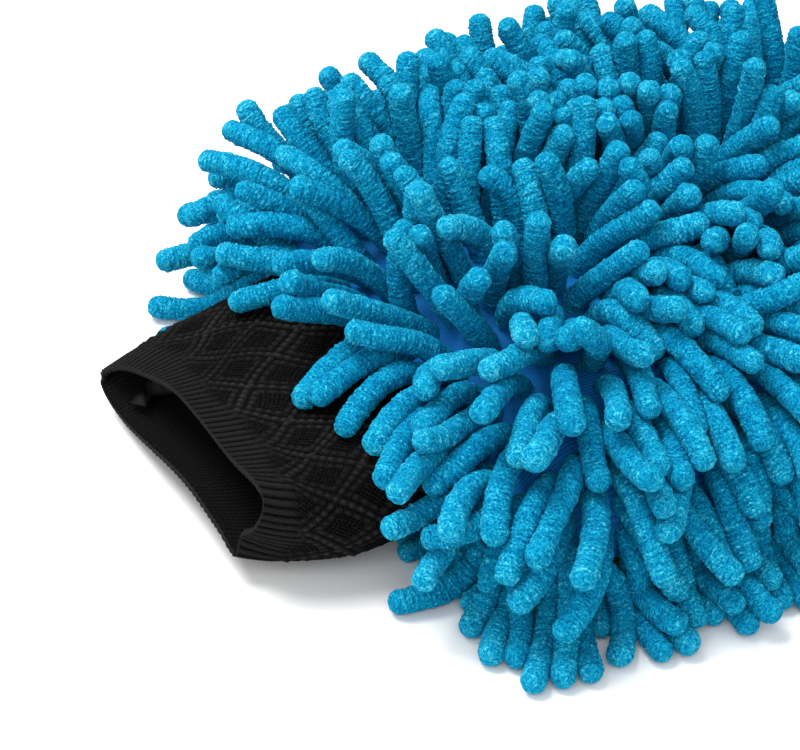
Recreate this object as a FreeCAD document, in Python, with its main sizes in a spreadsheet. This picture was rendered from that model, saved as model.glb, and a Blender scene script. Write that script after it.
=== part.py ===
import FreeCAD, Part
import math
import os

import Sketcher

# Chenille wash mitt lying palm down: a fabric hand pocket covered in rows of soft
# fingers, with a knitted elastic cuff. Millimetres. +X runs from the cuff to the tip,
# +Z is up, and the origin is the middle of the patch of ground that the mitt covers.

SIZES = {
    # plan of the mitt
    "overall_length": 290.0,
    "cuff_length": 64.0,
    "panel_length": 201.0,
    "panel_width": 186.0,
    "tip_corner": 62.0,
    "front_corner": 26.0,
    "dome_inset": 26.0,
    # heights above the ground
    "panel_level": 14.0,
    "panel_crown": 56.0,
    "pile_crown": 90.0,
    # layers of cloth
    "backing_thickness": 1.2,
    "lining_thickness": 0.8,
    "lining_inset": 3.5,
    "layer_gap": 0.3,
    "seam_width": 1.7,
    "seam_depth": 4.0,
    # pile of fingers
    "pile_foot_overhang": 25.0,
    "pile_shoulder_overhang": 16.0,
    "pile_crown_inset": 30.0,
    "pile_front_slope": 16.0,
    "pile_floor_inset": 6.0,
    # cuff: its flattened tube at the mouth and where it is sewn on
    "mouth_width": 104.0,
    "mouth_height": 30.0,
    "mouth_lift": 7.0,
    "mouth_shift": 10.0,
    "join_width": 118.0,
    "join_height": 28.0,
    "join_lift": 16.8,
    "cuff_gap": 0.4,
    "knit_thickness": 1.2,
    "hem_length": 12.0,
    "elastic_thickness": 0.9,
    "elastic_width": 9.0,
    "inner_thickness": 1.0,
    "join_seam_length": 4.0,
    "side_seam_width": 6.0,
    "side_seam_height": 4.0,
    "side_seam_inset": 10.0,
}
ROW_COUNT = 12
RIGHT_ANGLE = math.pi / 2

doc = FreeCAD.newDocument("wash_mitt")
sizes = doc.addObject("Spreadsheet::Sheet", "sizes")
for number, (alias, value) in enumerate(SIZES.items(), start=1):
    sizes.set(f"A{number}", alias)
    sizes.set(f"B{number}", str(value))
    sizes.setAlias(f"B{number}", alias)
doc.recompute()

FRONT = "(sizes.cuff_length - sizes.overall_length / 2)"
TIP = f"({FRONT} + sizes.panel_length)"
MOUTH = "(-sizes.overall_length / 2)"
LAYER = "(sizes.backing_thickness + sizes.layer_gap)"


def value_of(expression):
    return float(sizes.evalExpression(expression))


def origin_plane(body, role):
    return next(plane for plane in body.Origin.OriginFeatures if plane.Role == role)


def new_sketch(body, name, role, offset):
    """A sketch parallel to one of the body's own planes, an offset away from it."""
    sketch = body.newObject("Sketcher::SketchObject", name)
    sketch.AttachmentSupport = [(origin_plane(body, role), "")]
    sketch.MapMode = "FlatFace"
    sketch.setExpression(".AttachmentOffset.Base.z", offset)
    return sketch


def dimension(sketch, *reference, size):
    """Adds a dimension to the sketch and binds it to the sheet."""
    index = sketch.addConstraint(Sketcher.Constraint(*reference, value_of(size)))
    sketch.setExpression(f"Constraints[{index}]", size)


def arc(centre_x, centre_y, radius, first_quarter, last_quarter):
    circle = Part.Circle(FreeCAD.Vector(centre_x, centre_y, 0), FreeCAD.Vector(0, 0, 1), radius)
    return Part.ArcOfCircle(circle, first_quarter * RIGHT_ANGLE, last_quarter * RIGHT_ANGLE)


def line(start_x, start_y, end_x, end_y):
    return Part.LineSegment(FreeCAD.Vector(start_x, start_y, 0), FreeCAD.Vector(end_x, end_y, 0))


def close_loop(sketch, edges):
    """Adds the edges and makes each one run on smoothly into the next."""
    for edge in edges:
        sketch.addGeometry(edge, False)
    for index in range(len(edges)):
        following = (index + 1) % len(edges)
        sketch.addConstraint(Sketcher.Constraint("Tangent", index, 2, following, 1))


def outline(body, name, level, inset, front_inset="0"):
    """The plan of the mitt at one level, drawn in from its sides and tip by an inset."""
    sketch = new_sketch(body, name, "XY_Plane", level)
    half_width = f"sizes.panel_width / 2 - ({inset})"
    tip_at = f"{TIP} - ({inset})"
    front_at = f"{FRONT} + ({front_inset})"
    tip_radius = f"sizes.tip_corner - ({inset})"
    side, tip, front = value_of(half_width), value_of(tip_at), value_of(front_at)
    big, small = value_of(tip_radius), value_of("sizes.front_corner")
    close_loop(sketch, [
        line(front + small, -side, tip - big, -side),
        arc(tip - big, big - side, big, -1, 0),
        line(tip, big - side, tip, side - big),
        arc(tip - big, side - big, big, 0, 1),
        line(tip - big, side, front + small, side),
        arc(front + small, side - small, small, 1, 2),
        line(front, side - small, front, small - side),
        arc(front + small, small - side, small, 2, 3),
    ])
    for index, direction in ((0, "Horizontal"), (2, "Vertical"), (4, "Horizontal"), (6, "Vertical")):
        sketch.addConstraint(Sketcher.Constraint(direction, index))
    dimension(sketch, "DistanceX", -1, 1, 2, 1, size=tip_at)
    dimension(sketch, "DistanceX", 6, 1, -1, 1, size=f"-({front_at})")
    dimension(sketch, "DistanceY", -1, 1, 4, 1, size=half_width)
    dimension(sketch, "DistanceY", 0, 1, -1, 1, size=half_width)
    corners = ((1, tip_radius), (3, tip_radius), (5, "sizes.front_corner"), (7, "sizes.front_corner"))
    for index, radius in corners:
        dimension(sketch, "Radius", index, size=radius)
    return sketch


def along_cuff(quantity, along):
    """A size of the cuff that changes evenly from its mouth to where it is sewn on."""
    share = f"({along}) / sizes.cuff_length"
    return f"(sizes.mouth_{quantity} + (sizes.join_{quantity} - sizes.mouth_{quantity}) * {share})"


def cuff_centre(along):
    """The cuff lies askew: its mouth is to the left of where it is sewn on."""
    return f"(sizes.mouth_shift * (1 - ({along}) / sizes.cuff_length))"


def slot(body, name, along, inset="0"):
    """The flattened round section of the cuff, at a distance along it from the mouth."""
    width, height, lift = (along_cuff(quantity, along) for quantity in ("width", "height", "lift"))
    return slot_at(body, name, f"{MOUTH} + ({along})", width, height, lift, inset, cuff_centre(along))


def slot_at(body, name, position, width, height, lift, inset="0", centre_y="0"):
    """A slot standing across the mitt: two half circles joined by flat runs."""
    sketch = new_sketch(body, name, "YZ_Plane", position)
    radius = f"{height} / 2 - ({inset})"
    bottom = f"{lift} + ({inset})"
    left = f"{centre_y} - ({width} - {height}) / 2"
    right = f"{centre_y} + ({width} - {height}) / 2"
    low, turn = value_of(bottom), value_of(radius)
    start, end = value_of(left), value_of(right)
    close_loop(sketch, [
        line(start, low, end, low),
        arc(end, low + turn, turn, -1, 1),
        line(end, low + 2 * turn, start, low + 2 * turn),
        arc(start, low + turn, turn, 1, 3),
    ])
    sketch.addConstraint(Sketcher.Constraint("Horizontal", 0))
    sketch.addConstraint(Sketcher.Constraint("Horizontal", 2))
    place_along(sketch, 0, 1, left)
    place_along(sketch, 0, 2, right)
    dimension(sketch, "DistanceY", -1, 1, 0, 1, size=bottom)
    dimension(sketch, "Radius", 1, size=radius)
    return sketch


def place_along(sketch, edge, end, position):
    """Fixes the horizontal place of an edge's end, on either side of the origin."""
    if value_of(position) < 0:
        dimension(sketch, "DistanceX", edge, end, -1, 1, size=f"-({position})")
    else:
        dimension(sketch, "DistanceX", -1, 1, edge, end, size=position)


def loft(body, kind, name, first, last):
    feature = body.newObject(f"PartDesign::{kind}Loft", name)
    feature.Profile = first
    feature.Sections = [last]
    feature.Ruled = True
    return feature


def pad(body, name, sketch, length):
    feature = body.newObject("PartDesign::Pad", name)
    feature.Profile = sketch
    feature.setExpression("Length", length)
    return feature


def cut_along(body, name, sketch, length, backwards=False):
    feature = body.newObject("PartDesign::Pocket", name)
    feature.Profile = sketch
    feature.setExpression("Length", length)
    feature.Reversed = backwards
    return feature


def new_body(label):
    body = doc.addObject("PartDesign::Body", label)
    body.Label = label
    return body


def flat_panel(label, level, thickness, inset):
    """A flat cloth panel in the plan of the mitt."""
    body = new_body(label)
    pad(body, f"{label}_cloth", outline(body, f"{label}_plan", level, inset, inset), thickness)
    return body


def domed_panel(label, inset, thickness):
    """A cloth panel that rises from the edge seam to a flat crown, with a hole for the hand."""
    body = new_body(label)
    inner = f"({inset}) + {thickness}"
    foot = f"sizes.panel_level + {LAYER}"
    top = f"sizes.panel_crown - ({inset})"
    rise = "sizes.dome_inset"
    loft(body, "Additive", f"{label}_outside",
         outline(body, f"{label}_foot", foot, inset, inset),
         outline(body, f"{label}_crown", top, f"({inset}) + {rise}", inset))
    loft(body, "Subtractive", f"{label}_inside",
         outline(body, f"{label}_inner_foot", foot, inner, inner),
         outline(body, f"{label}_inner_crown", f"{top} - {thickness}", f"{inner} + {rise}", inner))
    hole = slot(body, f"{label}_hand_hole", "sizes.cuff_length", inset="-sizes.layer_gap")
    cut_along(body, f"{label}_hand_way", hole, "sizes.hem_length", backwards=True)
    return body


def edge_seam():
    """The overlocked seam that joins the panels round the sides and the tip."""
    body = new_body("edge_seam")
    level = "sizes.panel_level - sizes.seam_depth / 4"
    outer = "-sizes.layer_gap - sizes.seam_width"
    pad(body, "edge_seam_band", outline(body, "edge_seam_outer", level, outer), "sizes.seam_depth")
    inner = outline(body, "edge_seam_inner", level, "-sizes.layer_gap", "-sizes.hem_length")
    cut_along(body, "edge_seam_hollow", inner, "sizes.seam_depth", backwards=True)
    return body


def tube(label, start, end, outside, inside):
    """A length of the cuff's flattened tube between two insets from its outer face."""
    body = new_body(label)
    loft(body, "Additive", f"{label}_outside",
         slot(body, f"{label}_near", start, outside), slot(body, f"{label}_far", end, outside))
    loft(body, "Subtractive", f"{label}_inside",
         slot(body, f"{label}_near_bore", start, inside), slot(body, f"{label}_far_bore", end, inside))
    return body


ELASTIC_OUTSIDE = "(sizes.knit_thickness + sizes.layer_gap)"
ELASTIC_INSIDE = f"({ELASTIC_OUTSIDE} + sizes.elastic_thickness)"
INNER_OUTSIDE = f"({ELASTIC_INSIDE} + sizes.layer_gap)"
INNER_INSIDE = f"({INNER_OUTSIDE} + sizes.inner_thickness)"
CUFF_END = "(sizes.cuff_length - sizes.cuff_gap)"


def cuff_hem():
    """The ribbed welt: knit turned over at the mouth, with a fold that covers the layers' ends."""
    body = new_body("cuff_hem")
    fold = "sizes.knit_thickness"
    loft(body, "Additive", "hem_outside",
         slot(body, "hem_near", "0"), slot(body, "hem_far", "sizes.hem_length"))
    loft(body, "Subtractive", "hem_mouth",
         slot(body, "hem_near_mouth", "0", INNER_INSIDE), slot(body, "hem_far_mouth", fold, INNER_INSIDE))
    loft(body, "Subtractive", "hem_channel",
         slot(body, "hem_near_channel", fold, fold),
         slot(body, "hem_far_channel", "sizes.hem_length", fold))
    return body


def cuff_side_seam():
    """The bunched overlocked seam allowance that runs along the inside of the cuff."""
    body = new_body("cuff_side_seam")
    ends = (("near", "sizes.hem_length / 4"), ("far", CUFF_END))
    sketches = []
    for name, along in ends:
        side = f"({cuff_centre(along)} + {along_cuff('width', along)} / 2 - sizes.side_seam_inset)"
        middle = f"({along_cuff('lift', along)} + {along_cuff('height', along)} / 2)"
        lift = f"({middle} - sizes.side_seam_height / 2)"
        sketches.append(slot_at(body, f"side_seam_{name}", f"{MOUTH} + ({along})",
                                "sizes.side_seam_width", "sizes.side_seam_height", lift, centre_y=side))
    loft(body, "Additive", "side_seam_bunch", *sketches)
    return body


def cuff_join_seam():
    """The sewn ring, turned into the pocket, that joins the cuff to the panels."""
    body = new_body("cuff_join_seam")
    ring = slot(body, "join_seam_outer", "sizes.cuff_length")
    pad(body, "join_seam_ring", ring, "sizes.join_seam_length")
    bore = slot(body, "join_seam_bore", "sizes.cuff_length", "sizes.knit_thickness")
    cut_along(body, "join_seam_hollow", bore, "sizes.join_seam_length", backwards=True)
    return body


def pile_solid(label, low, low_inset, low_front, high, high_inset, high_front):
    body = new_body(label)
    loft(body, "Additive", f"{label}_mass",
         outline(body, f"{label}_low", low, low_inset, low_front),
         outline(body, f"{label}_high", high, high_inset, high_front))
    return body


def pile_core():
    """The room that the panels and their seam take out of the pile hanging round them."""
    body = new_body("pile_core")
    clear = "(sizes.layer_gap * 2 + sizes.seam_width)"
    level = "(sizes.panel_level + sizes.seam_depth)"
    pad(body, "core_foot", outline(body, "core_plan", "0", f"-{clear}", "-sizes.hem_length"), level)
    loft(body, "Additive", "core_dome",
         outline(body, "core_low", level, f"-{clear}", "-sizes.hem_length"),
         outline(body, "core_high", "sizes.panel_crown + sizes.layer_gap",
                 "sizes.dome_inset - sizes.layer_gap", "-sizes.hem_length"))
    return body


def block(label, start_x, length, start_y, width):
    box = doc.addObject("Part::Box", label)
    box.setExpression("Placement.Base.x", start_x)
    box.setExpression("Length", length)
    box.setExpression("Placement.Base.y", start_y)
    box.setExpression("Width", width)
    box.setExpression("Height", "sizes.pile_crown * 2")
    box.setExpression("Placement.Base.z", "-sizes.pile_crown / 2")
    return box


def boolean(kind, label, base, tool):
    result = doc.addObject(f"Part::{kind}", label)
    result.Label = label
    result.Base = base
    result.Tool = tool
    return result


def pile_rows(prefix, mass, span):
    """Cuts a pile into rows across the mitt, a small gap apart."""
    pitch = f"({span} / {ROW_COUNT})"
    rows = []
    for index in range(ROW_COUNT):
        start = f"{FRONT} + sizes.layer_gap + {pitch} * {index}"
        slab = block(f"{prefix}_slab_{index + 1:02d}", start, f"{pitch} - sizes.layer_gap",
                     "-sizes.overall_length", "sizes.overall_length * 2")
        rows.append(boolean("Common", f"{prefix}_{index + 1:02d}", mass, slab))
    return rows


def pile_fringe(skirt):
    """Cuts the hanging skirt of fingers into its left, right and tip stretches."""
    side_end = f"({TIP} - sizes.tip_corner)"
    half = "sizes.overall_length"
    gap = "sizes.layer_gap"
    side_length = f"{side_end} - {FRONT} - {gap}"
    blocks = (
        ("left_fringe", f"{FRONT} + {gap}", side_length, "0", half),
        ("right_fringe", f"{FRONT} + {gap}", side_length, f"-{half}", half),
        ("tip_fringe", f"{side_end} + {gap}", half, f"-{half}", f"{half} * 2"),
    )
    return [
        boolean("Common", label, skirt, block(f"{label}_block", *limits))
        for label, *limits in blocks
    ]


def lower_rows():
    mass = pile_solid("lower_pile", "0", "sizes.pile_floor_inset", "sizes.layer_gap",
                      "sizes.panel_level - sizes.layer_gap", "sizes.backing_thickness",
                      "sizes.layer_gap")
    return pile_rows("lower_row", mass, "sizes.panel_length")


def upper_rows():
    mass = pile_solid("upper_pile", "sizes.panel_crown + sizes.layer_gap",
                      "-sizes.pile_shoulder_overhang", "sizes.layer_gap",
                      "sizes.pile_crown", "sizes.pile_crown_inset", "sizes.pile_front_slope")
    return pile_rows("upper_row", mass, "(sizes.panel_length + sizes.pile_shoulder_overhang)")


def fringes():
    skirt = pile_solid("pile_skirt", "0", "-sizes.pile_foot_overhang", "sizes.layer_gap",
                       "sizes.panel_crown", "-sizes.pile_shoulder_overhang", "sizes.layer_gap")
    hanging = boolean("Cut", "pile_hanging", skirt, pile_core())
    return pile_fringe(hanging)


def check(objects):
    """Stops if any object failed to build."""
    for item in objects:
        if "Invalid" in item.State or "Error" in item.State:
            raise RuntimeError(f"{item.Label} failed: {item.State}")


def export(nodes):
    os.makedirs("parts", exist_ok=True)
    for node in nodes:
        shape = node.Shape
        if shape.isNull() or not shape.isValid() or not shape.Solids:
            raise RuntimeError(f"{node.Label} is not a valid solid")
        shape.exportStep(f"parts/{node.Label}.step")
        print(f"{node.Label}: {len(shape.Solids)} solid, {shape.Volume / 1000:.1f} cm3")


nodes = [
    flat_panel("lower_backing", "sizes.panel_level", "sizes.backing_thickness", "0"),
    flat_panel("lower_lining", f"sizes.panel_level + {LAYER}", "sizes.lining_thickness",
               "sizes.lining_inset"),
    domed_panel("upper_backing", "0", "sizes.backing_thickness"),
    domed_panel("upper_lining", LAYER, "sizes.lining_thickness"),
    edge_seam(),
    cuff_hem(),
    tube("cuff_outer", "sizes.hem_length + sizes.layer_gap", CUFF_END, "0", "sizes.knit_thickness"),
    tube("cuff_elastic", "sizes.knit_thickness + sizes.layer_gap",
         "sizes.knit_thickness + sizes.layer_gap + sizes.elastic_width", ELASTIC_OUTSIDE, ELASTIC_INSIDE),
    tube("cuff_inner", "sizes.knit_thickness + sizes.layer_gap", CUFF_END, INNER_OUTSIDE, INNER_INSIDE),
    cuff_side_seam(),
    cuff_join_seam(),
]
nodes += lower_rows()
nodes += upper_rows()
nodes += fringes()

doc.recompute()
check(doc.Objects)
export(nodes)
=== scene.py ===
import math

import bpy
import numpy as np
from mathutils import Matrix, Vector


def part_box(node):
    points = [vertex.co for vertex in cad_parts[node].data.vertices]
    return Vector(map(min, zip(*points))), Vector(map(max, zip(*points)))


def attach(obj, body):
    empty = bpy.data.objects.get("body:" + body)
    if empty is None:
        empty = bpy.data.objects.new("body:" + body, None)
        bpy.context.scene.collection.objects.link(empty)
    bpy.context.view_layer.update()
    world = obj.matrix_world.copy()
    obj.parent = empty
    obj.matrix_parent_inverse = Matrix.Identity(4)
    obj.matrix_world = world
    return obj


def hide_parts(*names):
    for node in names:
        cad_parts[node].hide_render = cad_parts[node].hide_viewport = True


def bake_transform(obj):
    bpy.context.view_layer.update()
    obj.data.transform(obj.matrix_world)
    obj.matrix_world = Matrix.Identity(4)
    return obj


# A chenille wash mitt lying on a pale floor. Lengths are in millimetres while a piece is
# shaped, and in metres once it is a Blender mesh. +X runs from the cuff to the tip, +Z up.

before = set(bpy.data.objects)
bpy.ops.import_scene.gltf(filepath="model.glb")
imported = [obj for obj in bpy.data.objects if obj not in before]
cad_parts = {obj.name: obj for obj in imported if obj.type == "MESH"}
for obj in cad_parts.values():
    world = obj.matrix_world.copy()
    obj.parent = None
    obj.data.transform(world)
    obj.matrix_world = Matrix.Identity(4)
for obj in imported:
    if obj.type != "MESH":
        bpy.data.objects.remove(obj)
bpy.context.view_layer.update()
MM = 0.001
TURN = 2 * math.pi
RANDOM = np.random.default_rng(7)


def node_box(node):
    """A node's lowest and highest corners, in millimetres."""
    low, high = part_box(node)
    return np.array(low) / MM, np.array(high) / MM


def unit(vectors):
    """Vectors of length one along the last axis."""
    return vectors / np.maximum(np.linalg.norm(vectors, axis=-1, keepdims=True), 1e-9)


# ---------------- sizes from the frame
panel_low, panel_high = node_box("upper_backing")
hem_low, hem_high = node_box("cuff_hem")
under_low, _ = node_box("lower_backing")
FRONT, TIP = panel_low[0], panel_high[0]
HALF_WIDTH = panel_high[1]
EDGE_LEVEL, CROWN = panel_low[2], panel_high[2]
UNDER_LEVEL = under_low[2]
MOUTH = hem_low[0]
HEM_LENGTH = hem_high[0] - hem_low[0]
CUFF_LENGTH = FRONT - MOUTH
MIDDLE, HALF_LENGTH = (FRONT + TIP) / 2, (TIP - FRONT) / 2

# outline of the panels, and the dome that the top one makes
TIP_CORNER = 62.0
FRONT_CORNER = 26.0
DOME_WIDTH = 48.0
DOME_RISE = CROWN - EDGE_LEVEL
UNDER_DEPTH = EDGE_LEVEL - UNDER_LEVEL

# the top panel's front edge, raised to pass over the cuff
EAVE_LENGTH = 24.0
EAVE_GAP = 0.6
CUFF_SIDE_LEVEL = 31.0

# the upper lining's distance under the top panel, and the extra past the cuff
LINING_GAP = 1.6
ROOT_ROOM = 3.0

# how far the top of the cuff's mouth sits behind its foot, and over what length
MOUTH_SET_BACK = 6.0
MOUTH_SLOPE_LENGTH = 20.0

# Sections of the cuff from the far side over the top to the near side and back under,
# as (y, z), at its mouth, part way along and where it is sewn on.
CUFF_SECTIONS = (
    (0.0, ((62, 13), (52, 22), (38, 29), (21, 35), (2, 37), (-18, 37), (-36, 38.5), (-42, 34),
           (-40, 25), (-34, 18), (-33, 10), (-21, 11.5), (-1, 13), (22, 10), (44, 7), (58, 7.5))),
    (0.55, ((61, 24), (54, 33), (40, 38), (22, 40), (3, 41), (-18, 41), (-38, 40), (-50, 36),
            (-55, 27), (-53, 17), (-46, 9), (-26, 9), (-2, 11), (20, 12), (42, 13), (55, 16))),
    (1.0, ((59, 31), (54, 39), (41, 43), (22, 45), (2, 45), (-18, 45), (-38, 44), (-51, 40),
           (-59, 31), (-54, 23), (-41, 19), (-22, 17), (-2, 17), (20, 17), (41, 19), (54, 23))),
)

# A piece of the mitt that reaches in front of BEND_START, or of the cuff that reaches past BEND_END, is
# attached to neither body.
BEND_START = FRONT + 30
BEND_END = FRONT - 30

# ---------------- pile of fingers
FINGER_RADIUS = 3.75
FINGER_LENGTH = 41.0
FINGER_JOINTS = 9
ROOT_PITCH = 9.8
ROOT_SHIFT = 0.15
ROW_SHIFT = 0.12
EDGE_COUNT = 63
EDGE_INSET = 1.5
SHOULDER_INSET = 6.0
UNDER_PITCH = 12.0
ROW_COUNT = 12
NOISE_ROWS = 512
RING_PITCH = 1.35
FRINGE_WIDTH = 13.0
SIDE_END = TIP - TIP_CORNER
UNDER_RADIUS = 3.4
UNDER_LENGTH = 27.0
ROOT_DEPTH = 1.5
RADIUS_SPREAD = (0.94, 1.05)
LENGTH_SPREAD = (0.86, 1.1)

# how the fingers settle: forces in mm a step, and how stiff they are at the root and beyond
COMB_STRENGTH = 0.13
WEIGHT = 0.03
DAMPING = 0.82
TOP_SPEED = 1.5
ROOT_STIFFNESS = 0.5
STIFFNESS = 0.28
CURL = 0.3
PAIR_MARGIN = 2.0
PUSH_SHARE = 1.3
DEEPEST_PUSH = 4.0
FLOOR_GAP = 0.5
LOWEST_START = 4.0
SETTLE_STEPS = 150


def plan_inset(x, y):
    """How far in from the panels' edge a place is, and the outward direction there."""
    corner = np.where(x > MIDDLE, TIP_CORNER, FRONT_CORNER)
    past_x = np.abs(x - MIDDLE) - HALF_LENGTH + corner
    past_y = np.abs(y) - HALF_WIDTH + corner
    round_x, round_y = np.maximum(past_x, 0), np.maximum(past_y, 0)
    reach = np.hypot(round_x, round_y)
    outside = reach + np.minimum(np.maximum(past_x, past_y), 0) - corner
    flat = reach < 1e-6
    safe = np.where(flat, 1.0, reach)
    out_x = np.where(flat, past_x > past_y, round_x / safe) * np.sign(x - MIDDLE)
    out_y = np.where(flat, past_x <= past_y, round_y / safe) * np.sign(y)
    return -outside, out_x, out_y


def outline_ring(inset, count):
    """Places round the panels at an inset from their edge, in mm."""
    share = np.linspace(0, 1, count, endpoint=False)
    corners = ((1, 1, TIP_CORNER), (-1, 1, FRONT_CORNER), (-1, -1, FRONT_CORNER), (1, -1, TIP_CORNER))
    places = []
    for number, (side_x, side_y, corner) in enumerate(corners):
        centre = np.array([MIDDLE + side_x * (HALF_LENGTH - corner), side_y * (HALF_WIDTH - corner)])
        turn = number * TURN / 4 + np.linspace(0, TURN / 4, 24)
        places.append(centre + max(corner - inset, 0.0) * np.stack([np.cos(turn), np.sin(turn)], axis=1))
    places = np.concatenate(places)
    places = np.concatenate([places, places[:1]])
    steps = np.concatenate([[0], np.cumsum(np.linalg.norm(np.diff(places, axis=0), axis=1))])
    marks = share * steps[-1]
    return np.stack([np.interp(marks, steps, places[:, axis]) for axis in (0, 1)], axis=1)


def crown_height(inset):
    """Height of the top panel at an inset from its edge."""
    away = 1 - np.clip(inset / DOME_WIDTH, 0, 1)
    return EDGE_LEVEL + DOME_RISE * np.sqrt(np.clip(1 - away ** 2, 0, 1))


def cuff_roof(y):
    """Height of the cuff's top where it is sewn on, and nothing beyond its sides."""
    top = sorted(CUFF_SECTIONS[-1][1], key=lambda place: place[0])
    top = [place for place in top if place[1] >= CUFF_SIDE_LEVEL]
    return np.interp(y, [place[0] for place in top], [place[1] for place in top], left=0, right=0)


def shell_height(x, y):
    """Height of the top panel. Its front edge rises over the cuff."""
    inset, _, _ = plan_inset(x, y)
    dome = crown_height(np.maximum(inset, 0))
    return np.where(x < FRONT + EAVE_LENGTH, np.maximum(dome, cuff_roof(y) + EAVE_GAP), dome)


def shell_distance(points):
    """Distance outside the panels' shell, roughly, and the direction straight out of it."""
    inset, out_x, out_y = plan_inset(points[:, 0], points[:, 1])
    away = np.maximum(DOME_WIDTH - inset, 0) / DOME_WIDTH
    depth = np.where(points[:, 2] > EDGE_LEVEL, DOME_RISE, UNDER_DEPTH)
    above = (points[:, 2] - EDGE_LEVEL) / depth
    level = np.maximum(np.hypot(away, above), 1e-6)
    slope_out, slope_up = away / DOME_WIDTH, above / depth
    slope = np.maximum(np.hypot(slope_out, slope_up), 1e-9)
    distance = (level - 1) * level / slope
    normal = np.stack([out_x * slope_out, out_y * slope_out, slope_up], axis=1) / slope[:, None]
    return distance, normal


def curve_between(before, here, ahead, beyond, part):
    """A place part of the way from here to ahead, on a smooth curve through all four."""
    return here + 0.5 * part * (
        ahead - before + part * (
            2 * before - 5 * here + 4 * ahead - beyond
            + part * (3 * (here - ahead) + beyond - before)))


def closed_curve(points, shares):
    """Places on a smooth closed curve through the points, at shares of the way round."""
    points = np.asarray(points, float)
    count = len(points)
    steps = np.linalg.norm(np.roll(points, -1, axis=0) - points, axis=1)
    marks = np.concatenate([[0], np.cumsum(steps)]) / steps.sum()
    shares = np.asarray(shares) % 1.0
    span = np.clip(np.searchsorted(marks, shares, side="right") - 1, 0, count - 1)
    part = ((shares - marks[span]) / (marks[span + 1] - marks[span]))[..., None]
    return curve_between(*(points[(span + offset) % count] for offset in (-1, 0, 1, 2)), part)


def cuff_section(share_round, along):
    """Places on the cuff's outer face: a share of the way round and a distance from the mouth."""
    share = np.asarray(along) / CUFF_LENGTH
    rings = [closed_curve(shape, share_round) for _, shape in CUFF_SECTIONS]
    marks = [mark for mark, _ in CUFF_SECTIONS]
    total = np.zeros_like(rings[0])
    for index, ring in enumerate(rings):
        weight = np.ones_like(share, dtype=float)
        for other, mark in enumerate(marks):
            if other != index:
                weight = weight * (share - mark) / (marks[index] - mark)
        total = total + ring * weight[..., None]
    return total


def cuff_places(share_round, along):
    """Places on the cuff's outer face in full. The top of the mouth sits back from its foot."""
    ring = cuff_section(share_round, along)
    height = np.clip((ring[..., 1] - 10) / 26, 0, 1)
    back = MOUTH_SET_BACK * height * np.exp(-along / MOUTH_SLOPE_LENGTH)
    return np.stack([MOUTH + along + back, ring[..., 0], ring[..., 1]], axis=-1)


def cuff_tables():
    """The middle and half size of the cuff at stations along it, for a quick distance test."""
    stations = np.linspace(0, CUFF_LENGTH, 24)
    shares = np.linspace(0, 1, 96, endpoint=False)
    rings = cuff_section(shares[None, :] + 0 * stations[:, None], stations[:, None] + 0 * shares)
    low, high = rings.min(axis=1), rings.max(axis=1)
    return stations, (low + high) / 2, (high - low) / 2


CUFF_STATIONS, CUFF_MIDDLE, CUFF_HALF = cuff_tables()
CUFF_SQUARENESS = 3.0


def cuff_distance(points):
    """Distance outside the cuff and the direction out of it, from a smooth oval tube."""
    along = np.clip(points[:, 0] - MOUTH, 0, CUFF_LENGTH)
    middle, half = (
        np.stack([np.interp(along, CUFF_STATIONS, table[:, axis]) for axis in (0, 1)], axis=1)
        for table in (CUFF_MIDDLE, CUFF_HALF))
    offset = (points[:, 1:] - middle) / half
    power = CUFF_SQUARENESS
    level = np.maximum((np.abs(offset) ** power).sum(axis=1), 1e-9) ** (1 / power)
    slope = np.sign(offset) * (np.abs(offset) / level[:, None]) ** (power - 1) / half
    size = np.maximum(np.linalg.norm(slope, axis=1), 1e-9)
    beyond = (points[:, 0] < MOUTH) | (points[:, 0] > FRONT + 16)
    distance = np.where(beyond, 1e3, (level - 1) / size)
    normal = np.concatenate([np.zeros((len(points), 1)), slope / size[:, None]], axis=1)
    return distance, normal


def top_roots():
    """Places where the top fingers are knitted in: rows across the panel, staggered."""
    line = np.linspace(FRONT, TIP, 4000)
    height = shell_height(line, np.zeros_like(line))
    run = np.concatenate([[0], np.cumsum(np.hypot(np.diff(line), np.diff(height)))])
    rows = max(2, int(run[-1] / ROOT_PITCH))
    roots = []
    for row in range(rows):
        row_x = np.interp((row + 0.5) / rows * run[-1], run, line)
        across = np.linspace(-HALF_WIDTH, HALF_WIDTH, 4000)
        inset, _, _ = plan_inset(np.full_like(across, row_x), across)
        across = across[inset > 0]
        height = shell_height(np.full_like(across, row_x), across)
        width = np.concatenate([[0], np.cumsum(np.hypot(np.diff(across), np.diff(height)))])
        count = int(width[-1] / ROOT_PITCH)
        places = (np.arange(count) + 0.25 + 0.5 * (row % 2)) / count * width[-1]
        places = places + RANDOM.uniform(-ROOT_SHIFT, ROOT_SHIFT, count) * ROOT_PITCH
        places = np.clip(places, 0.5, width[-1] - 0.5)
        row_y = np.interp(places, width, across)
        row_z = np.interp(places, width, height)
        shift = RANDOM.uniform(-ROW_SHIFT, ROW_SHIFT, count) * ROOT_PITCH
        roots.append(np.stack([np.full(count, row_x) + shift, row_y, row_z], axis=1))
    roots = np.concatenate(roots)
    roots[:, 2] = shell_height(roots[:, 0], roots[:, 1])
    return np.concatenate([roots, edge_roots()])


def edge_roots():
    """Places close along the side seam and round the tip, but not where the cuff goes in.

    Beside the cuff a second row grows a little higher up.
    """
    places = outline_ring(EDGE_INSET, EDGE_COUNT)
    low = places[(places[:, 0] > FRONT + 8) | (np.abs(places[:, 1]) > 66)]
    places = outline_ring(SHOULDER_INSET, EDGE_COUNT)
    high = places[(places[:, 0] < FRONT + 12) & (np.abs(places[:, 1]) > 64)]
    return np.concatenate([
        np.column_stack([low, np.full(len(low), EDGE_LEVEL + 1.0)]),
        np.column_stack([high, shell_height(high[:, 0], high[:, 1])])])


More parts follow.
